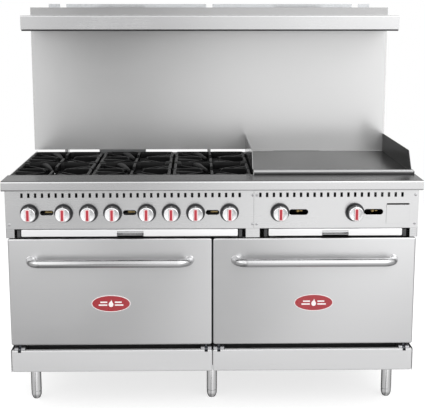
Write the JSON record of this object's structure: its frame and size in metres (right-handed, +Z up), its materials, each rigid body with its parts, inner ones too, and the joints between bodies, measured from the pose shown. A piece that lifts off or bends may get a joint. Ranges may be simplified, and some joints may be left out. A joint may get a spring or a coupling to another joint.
{
  "type": "commercial gas range",
  "caption": "Free-standing stainless gas range with open burners under cast grates, a griddle with splashes, two drop-door ovens, a high-shelf backguard, trays and legs.",
  "frame": {"origin": "middle of the footprint on the floor, halfway between the front of the rail and the end of the gas inlet", "axes": "+X to the cook's right, +Y to the back wall, +Z up"},
  "size_m": [1.524, 0.833, 1.546],
  "materials": {
    "stainless": "brushed stainless steel, fine horizontal grain",
    "stainless_front": "brushed stainless steel, fine horizontal grain",
    "stainless_door": "brushed stainless steel, fine horizontal grain",
    "stainless_backguard": "brushed stainless steel, fine horizontal grain",
    "galvanised": "dull aluminised sheet",
    "painted_frame": "heat-resistant dark paint",
    "leg_steel": "polished stainless tube",
    "foot_steel": "satin zinc-plated steel",
    "oven_face": "black porcelain enamel",
    "oven_enamel": "speckled dark porcelain enamel",
    "hinge_steel": "plain plated steel",
    "rack_chrome": "bright nickel-plated wire",
    "insulation": "mineral-wool slab with a black glass facing",
    "screw_steel": "bright steel screws",
    "bezel_metal": "satin aluminium dial ring",
    "black_pipe": "black steel pipe",
    "tap_brass": "machined brass",
    "burner_frame": "black heat-resistant enamel",
    "burner_iron": "rough cast iron",
    "cast_iron": "seasoned black cast iron",
    "griddle_steel": "ground steel plate",
    "door_inner": "speckled dark porcelain enamel",
    "handle_steel": "polished stainless tube",
    "badge_red": "gloss red enamel with a pale rim",
    "tray_steel": "bright stainless sheet",
    "knob_metal": "satin chrome with a red pointer"
  },
  "bodies": {
    "range_frame": {"base_frame": "painted_frame", "legs": "leg_steel", "levelling_feet": "foot_steel", "side_panels": "stainless", "rear_panel": "galvanised", "kick_panels": "stainless_front", "centre_partition": "galvanised", "oven_front_frame": "oven_face", "hinge_brackets": "hinge_steel", "oven_liners": "oven_enamel", "rack_guides": "rack_chrome", "oven_racks": "rack_chrome", "oven_burners": "burner_iron", "oven_insulation": "insulation", "tray_runners": "painted_frame", "flue_risers": "galvanised", "backguard_front": "stainless_backguard", "backguard_rear": "galvanised", "high_shelf": "stainless", "shelf_brackets": "stainless", "control_panel_left": "stainless_front", "control_panel_right": "stainless_front", "panel_screws": "screw_steel", "knob_bezels": "bezel_metal", "front_rail": "stainless_front", "gas_manifold": "black_pipe", "gas_valves": "tap_brass", "burner_box": "burner_frame", "burner_bodies": "burner_iron", "burner_heads": "burner_iron", "griddle_plate": "griddle_steel", "griddle_surround": "stainless", "griddle_burners": "burner_iron"},
    "door_left": {"door_skin_left": "stainless_door", "door_liner_left": "door_inner", "door_handle_left": "handle_steel", "door_badge_left": "badge_red"},
    "door_right": {"door_skin_right": "stainless_door", "door_liner_right": "door_inner", "door_handle_right": "handle_steel", "door_badge_right": "badge_red"},
    "crumb_tray_left": {"crumb_tray_left": "tray_steel"},
    "crumb_tray_right": {"crumb_tray_right": "tray_steel"},
    "grease_drawer": {"grease_drawer": "stainless_front"},
    "knob_burner_1": {"knob_burner_1": "knob_metal"},
    "knob_burner_2": {"knob_burner_2": "knob_metal"},
    "knob_burner_3": {"knob_burner_3": "knob_metal"},
    "knob_burner_4": {"knob_burner_4": "knob_metal"},
    "knob_burner_5": {"knob_burner_5": "knob_metal"},
    "knob_burner_6": {"knob_burner_6": "knob_metal"},
    "knob_oven_left": {"knob_oven_left": "knob_metal"},
    "knob_oven_right": {"knob_oven_right": "knob_metal"},
    "knob_griddle_1": {"knob_griddle_1": "knob_metal"},
    "knob_griddle_2": {"knob_griddle_2": "knob_metal"},
    "grate_1": {"grate_1": "cast_iron"},
    "grate_2": {"grate_2": "cast_iron"},
    "grate_3": {"grate_3": "cast_iron"},
    "grate_4": {"grate_4": "cast_iron"},
    "grate_5": {"grate_5": "cast_iron"},
    "grate_6": {"grate_6": "cast_iron"}
  },
  "joints": [
    {"name": "door_left_hinge", "type": "hinge", "parent": "range_frame", "child": "door_left", "pos_m": [-0.38, -0.3295, 0.25], "axis": [1, 0, 0], "range_deg": [0, 90], "stiffness_Nm_per_rad": 12.7, "springref_deg": -22.35},
    {"name": "door_right_hinge", "type": "hinge", "parent": "range_frame", "child": "door_right", "pos_m": [0.38, -0.3295, 0.25], "axis": [1, 0, 0], "range_deg": [0, 90], "stiffness_Nm_per_rad": 12.7, "springref_deg": -22.35},
    {"name": "crumb_tray_left_slide", "type": "slide", "parent": "range_frame", "child": "crumb_tray_left", "axis": [0, -1, 0], "range_m": [0, 0.45]},
    {"name": "crumb_tray_right_slide", "type": "slide", "parent": "range_frame", "child": "crumb_tray_right", "axis": [0, -1, 0], "range_m": [0, 0.45]},
    {"name": "grease_drawer_slide", "type": "slide", "parent": "range_frame", "child": "grease_drawer", "axis": [0, -1, 0], "range_m": [0, 0.28]},
    {"name": "knob_burner_1_turn", "type": "hinge", "parent": "range_frame", "child": "knob_burner_1", "pos_m": [-0.6721, -0.3495, 0.785], "axis": [0, -1, 0], "range_deg": [0, 90]},
    {"name": "knob_burner_2_turn", "type": "hinge", "parent": "range_frame", "child": "knob_burner_2", "pos_m": [-0.5471, -0.3495, 0.785], "axis": [0, -1, 0], "range_deg": [0, 90]},
    {"name": "knob_burner_3_turn", "type": "hinge", "parent": "range_frame", "child": "knob_burner_3", "pos_m": [-0.3673, -0.3495, 0.785], "axis": [0, -1, 0], "range_deg": [0, 90]},
    {"name": "knob_burner_4_turn", "type": "hinge", "parent": "range_frame", "child": "knob_burner_4", "pos_m": [-0.2423, -0.3495, 0.785], "axis": [0, -1, 0], "range_deg": [0, 90]},
    {"name": "knob_burner_5_turn", "type": "hinge", "parent": "range_frame", "child": "knob_burner_5", "pos_m": [-0.0625, -0.3495, 0.785], "axis": [0, -1, 0], "range_deg": [0, 90]},
    {"name": "knob_burner_6_turn", "type": "hinge", "parent": "range_frame", "child": "knob_burner_6", "pos_m": [0.0625, -0.3495, 0.785], "axis": [0, -1, 0], "range_deg": [0, 90]},
    {"name": "knob_oven_left_turn", "type": "hinge", "parent": "range_frame", "child": "knob_oven_left", "pos_m": [-0.456, -0.3495, 0.785], "axis": [0, -1, 0], "range_deg": [0, 270]},
    {"name": "knob_oven_right_turn", "type": "hinge", "parent": "range_frame", "child": "knob_oven_right", "pos_m": [-0.152, -0.3495, 0.785], "axis": [0, -1, 0], "range_deg": [0, 270]},
    {"name": "knob_griddle_1_turn", "type": "hinge", "parent": "range_frame", "child": "knob_griddle_1", "pos_m": [0.2486, -0.3495, 0.785], "axis": [0, -1, 0], "range_deg": [0, 90]},
    {"name": "knob_griddle_2_turn", "type": "hinge", "parent": "range_frame", "child": "knob_griddle_2", "pos_m": [0.5257, -0.3495, 0.785], "axis": [0, -1, 0], "range_deg": [0, 90]},
    {"name": "grate_1_lift", "type": "slide", "parent": "range_frame", "child": "grate_1", "axis": [0, 0, 1], "range_m": [0, 0.12]},
    {"name": "grate_2_lift", "type": "slide", "parent": "range_frame", "child": "grate_2", "axis": [0, 0, 1], "range_m": [0, 0.12]},
    {"name": "grate_3_lift", "type": "slide", "parent": "range_frame", "child": "grate_3", "axis": [0, 0, 1], "range_m": [0, 0.12]},
    {"name": "grate_4_lift", "type": "slide", "parent": "range_frame", "child": "grate_4", "axis": [0, 0, 1], "range_m": [0, 0.12]},
    {"name": "grate_5_lift", "type": "slide", "parent": "range_frame", "child": "grate_5", "axis": [0, 0, 1], "range_m": [0, 0.12]},
    {"name": "grate_6_lift", "type": "slide", "parent": "range_frame", "child": "grate_6", "axis": [0, 0, 1], "range_m": [0, 0.12]}
  ]
}
